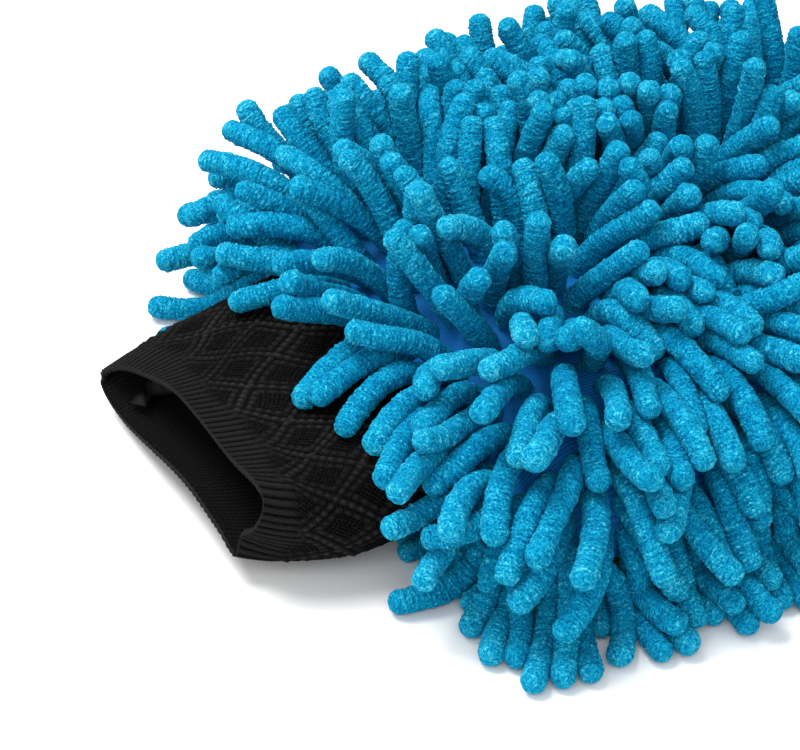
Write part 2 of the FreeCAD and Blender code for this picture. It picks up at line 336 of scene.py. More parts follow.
def under_roots():
    """Places where the fingers of the underside are knitted in."""
    xs = np.arange(FRONT + UNDER_PITCH / 2, TIP, UNDER_PITCH)
    ys = np.arange(-HALF_WIDTH + UNDER_PITCH / 2, HALF_WIDTH, UNDER_PITCH)
    grid_x, grid_y = np.meshgrid(xs, ys, indexing="ij")
    grid_y = grid_y + (np.arange(len(xs)) % 2)[:, None] * UNDER_PITCH / 2
    places = np.stack([grid_x.ravel(), grid_y.ravel()], axis=1)
    places = places + RANDOM.uniform(-1.5, 1.5, places.shape)
    inset, _, _ = plan_inset(places[:, 0], places[:, 1])
    places = places[inset > 2.0]
    return np.column_stack([places, np.full(len(places), UNDER_LEVEL)])


# How the pile lies where a hand has ruffled it: centre x, y, radius, and the lay x, y, z.
COMBED = (
    (-84, 22, 20, -1.0, 0.1, -0.4),
    (-84, -20, 20, -1.0, -0.2, -0.45),
    (-80, -66, 28, -1.0, -0.45, -0.6),
    (-80, 78, 30, -1.0, 0.40, 0.0),
    (-42, 94, 24, -0.5, 0.9, 0.55),
    (-58, 48, 15, 0.3, 0.3, 0.9),
    (-60, 14, 13, 0.4, 0.1, 0.9),
    (-52, -22, 15, -0.25, -0.4, 0.9),
    (-46, -52, 16, -0.1, -0.9, 0.1),
    (-12, -40, 20, 0.1, -0.9, 0.0),
    (-5, 15, 24, 0.3, -0.4, 0.8),
    (-18, 62, 24, -0.2, 0.4, 1.0),
    (15, 85, 26, -0.3, 0.5, 1.0),
    (30, -25, 22, 0.0, -0.9, 0.1),
    (42, 45, 28, -0.4, 0.3, 0.9),
    (75, 5, 28, 0.7, -0.3, 0.5),
)


def lay_of_pile(roots):
    """The way each top finger has been combed: near side down, far side out, ends outward."""
    inset, out_x, out_y = plan_inset(roots[:, 0], roots[:, 1])
    edge = np.clip(1.15 - inset / DOME_WIDTH, 0, 1)[:, None]
    near = np.clip(-roots[:, 1] / 30 - 0.3, 0, 1)
    low = np.clip(1 - inset / 7, 0, 1)
    outward = np.stack([0.8 * out_x, 0.8 * out_y, 0.25 - 1.1 * near - 1.3 * low], axis=1)
    sideways = np.stack([0 * near, np.where(near > 0, -0.9, 0.35), 0.5 - 0.9 * near], axis=1)
    wave = np.stack([
        np.sin(roots[:, 0] / 19 + 1.3) + np.cos(roots[:, 1] / 23 + roots[:, 0] / 41),
        np.sin(roots[:, 1] / 17 - roots[:, 0] / 37 + 0.4) + np.cos(roots[:, 0] / 21 + 2.0),
        np.zeros(len(roots)),
    ], axis=1)
    lay = edge * outward + (1 - edge) * sideways + 0.3 * wave
    total = np.zeros((len(roots), 1))
    pull = np.zeros_like(roots)
    for x, y, radius, *direction in COMBED:
        close = np.exp(-((roots[:, 0] - x) ** 2 + (roots[:, 1] - y) ** 2) / radius ** 2)[:, None]
        total = total + close
        pull = pull + close * np.array(direction)
    share = np.clip(1.4 * total, 0, 1) * (1 - 0.7 * low[:, None])
    lay = (1 - share) * lay + share * pull / np.maximum(total, 1e-6)
    return unit(lay + RANDOM.normal(0, 0.2, roots.shape))


def close_pairs(points, reach):
    """All pairs of points closer than reach, found by sorting them into a grid of cells."""
    cells = np.floor(points / reach).astype(np.int64)
    cells -= cells.min(axis=0) - 1
    size = cells.max(axis=0) + 2
    keys = (cells[:, 0] * size[1] + cells[:, 1]) * size[2] + cells[:, 2]
    order = np.argsort(keys, kind="stable")
    ranked = keys[order]
    first, second = [], []
    for dx in (0, 1):
        for dy in (-1, 0, 1):
            for dz in (-1, 0, 1):
                if (dx, dy, dz) < (0, 0, 0):
                    continue
                wanted = ranked + (dx * size[1] + dy) * size[2] + dz
                start = np.searchsorted(ranked, wanted, side="left")
                stop = np.searchsorted(ranked, wanted, side="right")
                if (dx, dy, dz) == (0, 0, 0):
                    start = np.maximum(start, np.arange(len(ranked)) + 1)
                count = np.maximum(stop - start, 0)
                total = int(count.sum())
                if not total:
                    continue
                left = np.repeat(np.arange(len(ranked)), count)
                begin = np.repeat(np.cumsum(count) - count, count)
                right = np.arange(total) - begin + np.repeat(start, count)
                first.append(order[left])
                second.append(order[right])
    first, second = np.concatenate(first), np.concatenate(second)
    gap = points[first] - points[second]
    close = (gap ** 2).sum(axis=1) < reach ** 2
    return first[close], second[close]


def straighten(chain, curl):
    """Each finger springs back towards its own gentle curl, most strongly near its root."""
    for link in range(1, FINGER_JOINTS - 1):
        bend = (chain[:, link - 1] + chain[:, link + 1]) / 2 - chain[:, link] - curl
        stiffness = ROOT_STIFFNESS if link < 3 else STIFFNESS
        if link >= 2:
            chain[:, link] += stiffness * 0.5 * bend
        chain[:, link + 1] -= stiffness * 0.5 * bend


def keep_length(chain, spacing):
    """Neighbouring joints of a finger go back to one spacing apart."""
    for link in range(2, FINGER_JOINTS):
        gap = chain[:, link] - chain[:, link - 1]
        length = np.linalg.norm(gap, axis=1, keepdims=True)
        stretch = gap * (1 - spacing[:, None] / np.maximum(length, 1e-9))
        if link == 2:
            chain[:, link] -= stretch
        else:
            chain[:, link] -= 0.6 * stretch
            chain[:, link - 1] += 0.4 * stretch


def touching_pairs(now, owner, place, free, reach):
    """Pairs of near joints that may push each other, leaving out neighbours on one finger."""
    first, second = close_pairs(now, reach)
    apart = (owner[first] != owner[second]) | (np.abs(place[first] - place[second]) > 3)
    movable = (free[first] + free[second]) > 0
    return first[apart & movable], second[apart & movable]


def push_apart(now, first, second, size, free):
    """Joints that overlap move apart, less where many push the same one."""
    gap = now[first] - now[second]
    length = np.maximum(np.linalg.norm(gap, axis=1), 1e-6)
    overlap = np.maximum(size[first] + size[second] - length, 0)
    share = free[first] + free[second]
    push = gap * (overlap / length / share)[:, None]
    hits = np.bincount(first, overlap > 0, len(now)) + np.bincount(second, overlap > 0, len(now))
    move = np.stack([
        np.bincount(first, push[:, axis] * free[first], len(now))
        - np.bincount(second, push[:, axis] * free[second], len(now))
        for axis in range(3)
    ], axis=1)
    return now + move * (PUSH_SHARE / np.maximum(hits, PUSH_SHARE))[:, None]


def keep_outside(now, size, free):
    """Joints stay outside the panels and the cuff, and above the ground."""
    for distance_to in (shell_distance, cuff_distance):
        distance, normal = distance_to(now)
        deep = np.maximum(size - distance, 0) * free
        now = now + normal * np.minimum(deep, DEEPEST_PUSH)[:, None]
    now[:, 2] = np.maximum(now[:, 2], size + FLOOR_GAP)
    return now


def settle(nodes, spacing, radius, curl, lay):
    """Lets every finger fall the way it is combed until it rests on its neighbours.

    nodes is fingers x joints x 3. The first two joints of each finger stay where they are.
    """
    fingers, joints, _ = nodes.shape
    owner = np.repeat(np.arange(fingers), joints)
    place = np.tile(np.arange(joints), fingers)
    free = np.where(place >= 2, 1.0, 0.0)
    fixed = free == 0
    size = np.repeat(radius, joints)
    now = nodes.reshape(-1, 3).copy()
    before = now.copy()
    held = now[fixed].copy()
    pull = np.repeat(COMB_STRENGTH * lay + np.array([0, 0, -WEIGHT]), joints, axis=0) * free[:, None]
    for step in range(SETTLE_STEPS):
        speed = (now - before) * DAMPING
        length = np.linalg.norm(speed, axis=1, keepdims=True)
        speed *= np.minimum(1, TOP_SPEED / np.maximum(length, 1e-9))
        before = now.copy()
        now = now + speed + pull
        if step % 3 == 0:
            first, second = touching_pairs(now, owner, place, free, 2 * radius.max() + PAIR_MARGIN)
        for _ in range(4):
            chain = now.reshape(nodes.shape)
            straighten(chain, curl)
            keep_length(chain, spacing)
            now = push_apart(now, first, second, size, free)
            now = keep_outside(now, size, free)
            now[fixed] = held
    return now.reshape(nodes.shape)


def under_directions(roots):
    """The way each finger of the underside lies: outward near the edge, any way further in."""
    inset, out_x, out_y = plan_inset(roots[:, 0], roots[:, 1])
    spin = RANDOM.uniform(0, TURN, len(roots))
    edge = np.clip(1 - inset / 40, 0, 1)
    return unit(np.stack([
        edge * out_x + (1 - edge) * np.cos(spin),
        edge * out_y + (1 - edge) * np.sin(spin),
        np.full(len(roots), -0.35),
    ], axis=1))


def grow_pile():
    """Roots, joints and radii of every finger, top and underside, after they settle."""
    top = top_roots()
    under = under_roots()
    _, top_normal = shell_distance(top + np.array([0, 0, 0.01]))
    top_lay = lay_of_pile(top)
    top_way = unit(0.8 * top_normal + top_lay)
    under_normal = np.tile([0.0, 0.0, -1.0], (len(under), 1))
    roots = np.concatenate([top, under])
    ways = np.concatenate([top_way, under_directions(under)])
    lay = np.concatenate([top_lay, 0 * under])
    normals = np.concatenate([top_normal, under_normal])
    is_top = np.arange(len(roots)) < len(top)
    radius = np.where(is_top, FINGER_RADIUS, UNDER_RADIUS) * RANDOM.uniform(*RADIUS_SPREAD, len(roots))
    length = np.where(is_top, FINGER_LENGTH, UNDER_LENGTH) * RANDOM.uniform(*LENGTH_SPREAD, len(roots))
    spacing = (length - radius) / (FINGER_JOINTS - 1)
    out = unit(normals * 0.5 + ways * 0.5)
    steps = np.arange(FINGER_JOINTS)[None, :, None]
    nodes = (roots - normals * ROOT_DEPTH)[:, None, :]
    nodes = nodes + out[:, None, :] * spacing[:, None, None] * np.minimum(steps, 1)
    nodes = nodes + ways[:, None, :] * spacing[:, None, None] * np.maximum(steps - 1, 0)
    nodes[~is_top, 1:, 2] = np.maximum(nodes[~is_top, 1:, 2], LOWEST_START)
    curl = RANDOM.normal(0, CURL, (len(roots), 3))
    return roots, settle(nodes, spacing, radius, curl, lay), radius, is_top


def smooth_paths(nodes, samples):
    """Points on a smooth curve through each finger's joints, evenly spaced."""
    joints = nodes.shape[1]
    first = 2 * nodes[:, :1] - nodes[:, 1:2]
    last = 2 * nodes[:, -1:] - nodes[:, -2:-1]
    padded = np.concatenate([first, nodes, last], axis=1)
    where = np.linspace(0, joints - 1, samples)
    span = np.minimum(where.astype(int), joints - 2)
    part = (where - span)[None, :, None]
    return curve_between(*(padded[:, span + offset] for offset in range(4)), part)


def carried_frames(paths):
    """Two directions square to each path, carried along it without twist."""
    ways = unit(np.gradient(paths, axis=1))
    sides = np.empty_like(paths)
    start = np.where(np.abs(ways[:, 0, 2:3]) < 0.9, [[0, 0, 1.0]], [[1.0, 0, 0]])
    side = unit(np.cross(ways[:, 0], start))
    for sample in range(paths.shape[1]):
        way = ways[:, sample]
        side = unit(side - way * (side * way).sum(axis=1, keepdims=True))
        sides[:, sample] = side
    return ways, sides, np.cross(ways, sides)


def soft_noise(shape, blur, seed):
    """Smooth repeating noise on a grid, with a spread of one."""
    values = np.random.default_rng(seed).normal(0, 1, shape)
    for axis, width in enumerate(blur):
        for _ in range(width):
            values = (values + np.roll(values, 1, axis) + np.roll(values, -1, axis)) / 3
    return values / values.std()


def finger_relief(along, angle):
    """How far the pile's tufts, lumps and faint rings stand out, along and around each finger."""
    fingers, samples = along.shape
    grain = soft_noise((NOISE_ROWS, len(angle)), (0, 1), 11)
    swell = soft_noise((NOISE_ROWS, len(angle)), (6, 3), 12)
    offset = np.arange(fingers) * 37
    row = (np.arange(samples)[None, :] + offset[:, None]) % NOISE_ROWS
    tufts, lumps = grain[row], swell[row]
    phase = along[:, :, None] / RING_PITCH * TURN + 1.5 * lumps + 0.5 * np.cos(angle)[None, None, :]
    return 0.09 * np.sin(phase) + 0.14 * tufts + 0.06 * lumps


def finger_girth(along, total, radius):
    """Radius along each finger: narrower at the root, a little uneven, and round at the tip."""
    tip = np.clip((total - along) / radius[:, None], 0, 1)
    rounding = np.sqrt(np.clip(1 - (1 - tip) ** 2, 0.0, 1))
    foot = 0.86 + 0.14 * np.clip(along / 7.0, 0, 1)
    belly = 1 + 0.03 * np.sin(along / 6.1 + np.arange(len(along))[:, None] * 2.4)
    return radius[:, None] * rounding * foot * belly, rounding


def finger_rings(nodes, along, span, reach, angle):
    """Rings of points round each finger's curve, and the rings' centres.

    The curve ends at the last joint, so the round end is carried on straight ahead of it.
    """
    samples = along.shape[1]
    paths = smooth_paths(nodes, samples)
    ways, sides, ups = carried_frames(paths)
    index = np.clip(along / span[:, None], 0, 1) * (samples - 1)
    low = np.minimum(index.astype(int), samples - 2)
    part = (index - low)[:, :, None]
    rows = np.arange(len(nodes))[:, None]

    def along_path(values):
        return values[rows, low] * (1 - part) + values[rows, low + 1] * part

    ahead = np.clip(along - span[:, None], 0, None)[:, :, None]
    centre = along_path(paths) + along_path(ways) * ahead
    rings = (centre[:, :, None, :]
             + along_path(sides)[:, :, None, :] * (np.cos(angle)[None, None, :] * reach)[..., None]
             + along_path(ups)[:, :, None, :] * (np.sin(angle)[None, None, :] * reach)[..., None])
    return rings, centre


def tube_quads(samples, around, closed=False):
    """Faces between a tube's neighbouring rings. A closed tube's last ring joins its first."""
    i, j = np.meshgrid(np.arange(samples if closed else samples - 1), np.arange(around), indexing="ij")
    here, ahead = i * around, (i + 1) % samples * around
    following = (j + 1) % around
    return np.stack([here + j, here + following, ahead + following, ahead + j], axis=-1).reshape(-1, 4)


def tube_caps(samples, around):
    """Triangles that close a tube's ends, on two more points that come after its rings."""
    here = np.arange(around)
    ahead = (here + 1) % around
    last = (samples - 1) * around
    first_end = samples * around
    return np.concatenate([
        np.stack([np.full(around, first_end), ahead, here], axis=1),
        np.stack([np.full(around, first_end + 1), last + here, last + ahead], axis=1)])


def with_ends(values, ends):
    """One value for each point of each finger, with the two end points added."""
    fingers = len(values)
    return np.concatenate([values.reshape(fingers, -1), np.tile(ends, (fingers, 1))], axis=1).ravel()


def pile_places(along, angle):
    """Places on each finger rolled out flat, in mm, so that the pile's pattern follows it."""
    shape = (*along.shape, len(angle))
    pile = np.stack([
        np.broadcast_to(along[:, :, None], shape),
        np.broadcast_to(np.cos(angle) * FINGER_RADIUS, shape),
        np.broadcast_to(np.sin(angle) * FINGER_RADIUS, shape),
    ], axis=-1).reshape(len(along), -1, 3)
    pile = np.concatenate([pile, np.zeros((len(along), 2, 3))], axis=1)
    pile[:, :, 1] += (np.arange(len(along)) * 23.0)[:, None]
    return pile.reshape(-1, 3)


def finger_mesh(name, nodes, radius, around, pitch):
    """One mesh of many closed fingers, each a round-ended tube covered in tufts of pile."""
    fingers = len(nodes)
    samples = int(round(FINGER_LENGTH / pitch))
    span = np.linalg.norm(np.diff(nodes, axis=1), axis=2).sum(axis=1)
    total = (span + radius)[:, None]
    along = np.linspace(0, 1, samples)[None, :] * total
    angle = np.arange(around) / around * TURN
    girth, rounding = finger_girth(along, total, radius)
    relief = finger_relief(along, angle)
    reach = girth[:, :, None] + relief * rounding[:, :, None] ** 0.5
    rings, centre = finger_rings(nodes, along, span, reach, angle)
    ends = np.stack([centre[:, 0], centre[:, -1]], axis=1)
    points = np.concatenate([rings.reshape(fingers, -1, 3), ends], axis=1)
    per_finger = samples * around + 2
    shift = (np.arange(fingers) * per_finger)[:, None, None]
    quads = (tube_quads(samples, around)[None] + shift).reshape(-1, 4)
    caps = (tube_caps(samples, around)[None] + shift).reshape(-1, 3)
    mesh = new_mesh(name, points.reshape(-1, 3), quads, caps)
    length_share = np.broadcast_to((along / total)[:, :, None], relief.shape)
    write_attribute(mesh, "length_share", with_ends(length_share, [0.0, 1.0]))
    write_attribute(mesh, "relief", with_ends(relief, [0.0, 0.0]))
    write_attribute(mesh, "own_tone", np.repeat(RANDOM.uniform(0, 1, fingers), per_finger))
    write_attribute(mesh, "pile_place", pile_places(along, angle))
    return mesh


# ---------------- meshes
def new_mesh(name, points, quads, triangles=()):
    """A smooth-shaded mesh from arrays of points in millimetres and faces."""
    mesh = bpy.data.meshes.new(name)
    quads = np.asarray(quads, np.int32).reshape(-1, 4)
    triangles = np.asarray(triangles, np.int32).reshape(-1, 3)
    corners = np.concatenate([quads.ravel(), triangles.ravel()])
    sizes = np.concatenate([np.full(len(quads), 4), np.full(len(triangles), 3)])
    mesh.vertices.add(len(points))
    mesh.vertices.foreach_set("co", (np.asarray(points) * MM).astype(np.float32).ravel())
    mesh.loops.add(len(corners))
    mesh.loops.foreach_set("vertex_index", corners.astype(np.int32))
    mesh.polygons.add(len(sizes))
    mesh.polygons.foreach_set("loop_start", np.concatenate([[0], np.cumsum(sizes)[:-1]]).astype(np.int32))
    mesh.polygons.foreach_set("use_smooth", np.ones(len(sizes), bool))
    mesh.update(calc_edges=True)
    mesh.validate()
    return mesh


def write_attribute(mesh, name, values):
    """Gives every point of a mesh a number, or a vector if values has rows of three."""
    values = np.asarray(values, np.float32)
    kind, field = ("FLOAT_VECTOR", "vector") if values.ndim == 2 else ("FLOAT", "value")
    attribute = mesh.attributes.new(name, kind, "POINT")
    attribute.data.foreach_set(field, values.ravel())


def new_object(name, mesh, material):
    thing = bpy.data.objects.new(name, mesh)
    bpy.context.scene.collection.objects.link(thing)
    mesh.materials.append(material)
    return thing


def node_of_root(root):
    """The name of the CAD node that a top finger belongs to."""
    inset, out_x, out_y = plan_inset(root[0], root[1])
    at_front = root[0] < FRONT + FRONT_CORNER and abs(out_x) > abs(out_y)
    if inset < FRINGE_WIDTH and not at_front:
        if root[0] > SIDE_END:
            return "tip_fringe"
        return "left_fringe" if root[1] > 0 else "right_fringe"
    return f"upper_row_{row_number(root[0]):02d}"


def row_number(x):
    share = (x - FRONT) / (TIP - FRONT)
    return int(np.clip(share * ROW_COUNT, 0, ROW_COUNT - 1)) + 1


def bend_with_cuff(thing):
    """A soft piece near the join keeps its place in the world and is attached to neither the mitt nor the
    cuff.
    """
    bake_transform(thing)


def hold(thing, body):
    """A piece moves with its body, or is attached to neither body if it reaches into the zone by the
    join.
    """
    points = np.empty(len(thing.data.vertices) * 3, np.float32)
    thing.data.vertices.foreach_get("co", points)
    lowest = points.reshape(-1, 3)[:, 0].min() / MM
    highest = points.reshape(-1, 3)[:, 0].max() / MM
    if (body == "mitt" and lowest < BEND_START) or (body == "cuff" and highest > BEND_END):
        bend_with_cuff(thing)
    else:
        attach(thing, body)


def build_pile(material):
    """All the fingers, in one piece for each row or fringe of the CAD model."""
    roots, nodes, radius, is_top = grow_pile()
    groups = {}
    for index, root in enumerate(roots):
        name = node_of_root(root) if is_top[index] else f"lower_row_{row_number(root[0]):02d}"
        groups.setdefault(name, []).append(index)
    for name, members in sorted(groups.items()):
        fine = not name.startswith("lower")
        around, pitch = (28, 0.45) if fine else (14, 0.9)
        mesh = finger_mesh(name + "_pile", nodes[members], radius[members], around, pitch)
        thing = new_object(name + "_pile", mesh, material)
        hold(thing, "mitt")
        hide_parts(name)


# ---------------- sheets of cloth
def layered_sheet(name, outer, normals, thickness):
    """A cloth of two faces: a grid of points and its copy one thickness inside.

    outer is around x along x 3, and its last row joins its first.
    """
    rows, columns, _ = outer.shape
    inner = outer - normals * np.reshape(thickness, (1, -1, 1))
    points = np.concatenate([outer.reshape(-1, 3), inner.reshape(-1, 3)])
    layer = rows * columns
    i, j = np.meshgrid(np.arange(rows), np.arange(columns - 1), indexing="ij")
    following = (i + 1) % rows
    face = np.stack([i * columns + j, following * columns + j,
                     following * columns + j + 1, i * columns + j + 1], axis=-1).reshape(-1, 4)
    start = np.arange(rows) * columns
    after = np.roll(start, -1)
    first = np.stack([after, start, start + layer, after + layer], axis=1)
    last = np.stack([start, after, after + layer, start + layer], axis=1) + columns - 1
    return new_mesh(name, points, np.concatenate([face, face[:, ::-1] + layer, first, last]))


def grid_normals(points):
    """Unit normals of a grid of points, around x along, whose last row joins its first."""
    across = np.roll(points, -1, axis=0) - np.roll(points, 1, axis=0)
    return unit(np.cross(across, np.gradient(points, axis=1)))


def panel_grid(height_at, inset_start, count=360, rings=46):
    """A panel as rings of points closing in from its edge to the line along its middle."""
    edge = outline_ring(0, count)
    spine = np.stack([np.clip(edge[:, 0], FRONT + 70, TIP - 89), np.zeros(count)], axis=1)
    shares = np.linspace(0, 1, rings) ** 1.35
    places = edge[:, None, :] * (1 - shares)[None, :, None] + spine[:, None, :] * shares[None, :, None]
    _, out_x, out_y = plan_inset(places[..., 0], places[..., 1])
    places = places - np.stack([out_x, out_y], axis=-1) * (inset_start * (1 - shares))[None, :, None]
    return np.dstack([places[..., 0], places[..., 1], height_at(places[..., 0], places[..., 1])])


def lining_height(x, y):
    """Height of the upper lining, clear of the roots of the fingers past the cuff."""
    return shell_height(x, y) - LINING_GAP - ROOT_ROOM * np.clip((x - FRONT) / EAVE_LENGTH, 0, 1)


def flat_at(height):
    """A level panel's height, as a function of place."""
    return lambda x, y: np.full_like(x, height)


def build_panels(backing, lining):
    """The two knitted backings and the two linings of the mitt."""
    pieces = (
        ("upper_backing", shell_height, 0.0, 1.2, backing, "backing_knit", (0.209, 0.216)),
        ("upper_lining", lining_height, 3.5, 0.8, lining, "lining_knit",
         (0.190, 0.198)),
        ("lower_backing", flat_at(UNDER_LEVEL + 1.2), 0.0, 1.2, backing, "backing_knit",
         (0.198, 0.177)),
        ("lower_lining", flat_at(UNDER_LEVEL + 2.3), 3.5, 0.8, lining, "lining_knit",
         (0.191, 0.173)),
    )
    for name, height_at, inset_start, thickness, material, slot, flat in pieces:
        grid = panel_grid(height_at, inset_start)
        grid[..., 2] = np.maximum(grid[..., 2], UNDER_LEVEL + 1.2)
        normals = grid_normals(grid)
        normals *= np.where(normals[..., 2:3] < 0, -1, 1)
        mesh = layered_sheet(name + "_cloth", grid, normals, thickness)
        thing = new_object(name + "_cloth", mesh, material)
        hold(thing, "mitt")
        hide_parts(name)


# ---------------- cuff
def cuff_girth():
    """Distance round the cuff, half way along it."""
    share = np.linspace(0, 1, 400, endpoint=False)
    ring = cuff_section(share, np.full(400, CUFF_LENGTH / 2))
    return np.linalg.norm(np.roll(ring, -1, axis=0) - ring, axis=1).sum()


def fitted(pitch):
    """The pitch nearest the one given that goes round the cuff a whole number of times."""
    return CUFF_ROUND / round(CUFF_ROUND / pitch)


CUFF_ROUND = cuff_girth()
RIB_PITCH = fitted(2.75)
DIAMOND_WIDTH = fitted(19.0)
DIAMOND_LENGTH = 25.0
HEM_SOFTNESS = 1.2
RIB_DEPTH = 0.62
CABLE_SPREAD = 14.0
CABLE_WIDTH = 3.4
CORD_PITCH = 2.5
PLY_SIZE = 0.62
PURL_DEPTH, PURL_STITCH, PURL_ROW = 0.34, 1.5, 1.75
STITCH_DEPTH, STITCH_ROW = 0.10, 1.1
RIM_LENGTH = 0.5


def knit_relief(u, v):
    """Height of the cuff's knitted pattern, at u round it and v from its mouth, in mm."""
    ribs = RIB_DEPTH * np.abs(np.cos(u / RIB_PITCH * TURN / 2)) ** 0.8 - 0.3
    past_hem = np.clip(v - HEM_LENGTH, 0, 6) / 6
    u = u + past_hem * (1.5 * np.sin(v / 11 + u / CUFF_ROUND * 4 * TURN) + 0.7 * np.sin(v / 4.7 + 1))
    v = v + 1.6 * np.sin(u / CUFF_ROUND * 5 * TURN + 0.8) + 0.8 * np.sin(u / CUFF_ROUND * 13 * TURN)
    rows = (v - HEM_LENGTH) / DIAMOND_LENGTH
    near_a = np.abs((u / DIAMOND_WIDTH + rows + 0.5) % 1 - 0.5)
    near_b = np.abs((u / DIAMOND_WIDTH - rows + 0.5) % 1 - 0.5)
    from_line = np.minimum(near_a, near_b) * CABLE_SPREAD
    cables = 0.5 * np.cos(from_line / CORD_PITCH * TURN) + 0.45
    cables = cables * np.exp(-(from_line / CABLE_WIDTH) ** 2)
    ply = 0.62 + 0.38 * np.sin(v / PLY_SIZE + np.sign(near_a - near_b) * u / PLY_SIZE)
    inside = np.clip(from_line / 2.4 - 0.9, 0, 1)
    purl = PURL_DEPTH * np.sin(u / PURL_STITCH * TURN + 1.3 * np.sin(v / 1.9))
    purl = purl * np.cos(v / PURL_ROW * TURN) * inside
    worn = 0.8 + 0.3 * np.sin(u / 7 + 1.0) * np.sin(v / 9 + u / 23)
    pattern = (cables * ply + purl) * worn - 0.12
    fade = 1 / (1 + np.exp(-(v - HEM_LENGTH) / HEM_SOFTNESS))
    stitches = STITCH_DEPTH * np.cos(v / STITCH_ROW * TURN) * (0.5 + 0.5 * np.cos(u / RIB_PITCH * TURN))
    return ribs * (1 - fade) + pattern * fade + stitches


def cuff_wave(u, v):
    """Slack in the cuff's cloth: soft puckers, stronger at the mouth and near the join."""
    mouth = np.exp(-v / 9)
    return (0.55 * np.sin(u / 17 + 0.6) * np.sin(v / 15 + 0.9)
            + 0.5 * mouth * np.sin(u / 9.5 + 1.2)
            + 0.35 * np.sin(u / 8.3 + v / 11) * np.sin(v / CUFF_LENGTH * TURN / 2))


def cuff_grid(start, stop, around, columns, depth, relief):
    """Points on the cuff's cloth at a depth inside its outer face, with their u and v."""
    share = np.linspace(0, 1, around, endpoint=False)
    v = np.linspace(start, stop, columns)
    share_grid, v_grid = np.meshgrid(share, v, indexing="ij")
    u_grid = share_grid * CUFF_ROUND
    points = cuff_places(share_grid, v_grid)
    normals = grid_normals(points)
    raised = cuff_wave(u_grid, v_grid) + relief(u_grid, v_grid) - depth
    return points + normals * raised[..., None], normals, u_grid, v_grid


def cuff_piece(name, start, stop, depth, thickness, relief, material, slot, fineness):
    """One layer of the cuff as a closed sleeve of cloth, a depth inside its outer face.

    start and stop are distances from the mouth, and thickness may be a function of them.
    """
    around = int(CUFF_ROUND / fineness)
    columns = max(4, int((stop - start) / fineness))
    points, normals, u, v = cuff_grid(start, stop, around, columns, depth, relief)
    points[..., 2] = np.maximum(points[..., 2], 0.6 + depth)
    if callable(thickness):
        thickness = thickness(v[0])
    mesh = layered_sheet(name + "_knit", points, normals, thickness)
    place = np.stack([u.ravel(), v.ravel(), np.zeros(u.size)], axis=1)
    height = relief(u, v).ravel()
    write_attribute(mesh, "knit_place", np.concatenate([place, place]))
    write_attribute(mesh, "relief", np.concatenate([height, height]))
    thing = new_object(name + "_knit", mesh, material)
    hold(thing, "cuff")
    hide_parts(name)
    return thing


def turned_edge(v):
    """The hem's thickness: at the mouth the cloth is folded in to meet the inner layer."""
    return 0.7 + 1.2 * np.clip(1.3 - v / 0.8, 0, 1)


def inner_ribs(u, v):
    """Fine ribs along the turned-in side of the knit."""
    return 0.16 * np.cos(u / 1.6 * TURN) + 0.03 * np.cos(v / 0.9 * TURN)


def smooth_band(u, _):
    return 0 * u


def build_cuff(knit, elastic):
    """The cuff's layers: the welt, the patterned knit, its turned-in side and the elastic."""
    fine = 0.42
    layers = (
        ("cuff_hem", 0.0, HEM_LENGTH, 0.0, turned_edge, knit_relief, knit, "cuff_knit", fine),
        ("cuff_outer", HEM_LENGTH, CUFF_LENGTH + 4, 0.0, 0.8, knit_relief, knit, "cuff_knit", fine),
        ("cuff_inner", 0.5, CUFF_LENGTH + 3, 1.5, 0.6, inner_ribs, knit, "cuff_knit", 1.4 * fine),
        ("cuff_elastic", 1.6, 10.6, 0.95, 0.4, smooth_band, elastic, "elastic", 2 * fine),
    )
    flat_lengths = (HEM_LENGTH, CUFF_LENGTH - 8, CUFF_LENGTH + 2, 10.0)
    for layer, flat_length in zip(layers, flat_lengths):
        thing = cuff_piece(*layer)


# ---------------- seams
SEAM_SIDES = 10
BUNCH_SIDES = 20


def swept_tube(name, path, reach, squash=1.0, closed=False):
    """A tube along a path, mm. reach is along x around: how far each point is from the path."""
    samples, around = reach.shape
    ways = np.roll(path, -1, axis=0) - np.roll(path, 1, axis=0) if closed else np.gradient(path, axis=0)
    ways = unit(ways)
    side = unit(np.cross(ways, [0, 0, 1.0]))
    up = np.cross(side, ways)
    angle = np.arange(around) / around * TURN
    points = (path[:, None, :] + side[:, None, :] * (np.cos(angle) * reach * squash)[..., None]
              + up[:, None, :] * (np.sin(angle) * reach)[..., None])
    points = points.reshape(-1, 3)
    quads = tube_quads(samples, around, closed)[:, ::-1]
    if closed:
        return new_mesh(name, points, quads)
    points = np.concatenate([points, path[:1], path[-1:]])
    return new_mesh(name, points, quads, tube_caps(samples, around)[:, ::-1])


def overlock(length, samples, around, radius, pitch):
    """How far an overlocked roll reaches: thread wraps with hollows between them."""
    along = np.linspace(0, length, samples)[:, None]
    angle = np.arange(around)[None, :] / around * TURN
    wraps = np.abs(np.sin(along / pitch * TURN / 2 + 0.7 * np.cos(angle)))
    return radius * (0.86 + 0.2 * wraps)


def seam_piece(name, mesh, material, body):
    thing = new_object(name + "_stitching", mesh, material)
    hold(thing, body)
    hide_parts(name)


def build_edge_seam(thread):
    """The overlocked seam round the sides and the tip, where the panels meet."""
    edge = outline_ring(0, 1400)
    path = np.column_stack([edge, np.full(len(edge), EDGE_LEVEL - 0.2)])
    length = np.linalg.norm(np.diff(path, axis=0), axis=1).sum()
    wraps = overlock(length, len(path), SEAM_SIDES, 1.7, 2.0)
    mesh = swept_tube("edge_seam_stitching", path, wraps, closed=True)
    seam_piece("edge_seam", mesh, thread, "mitt")


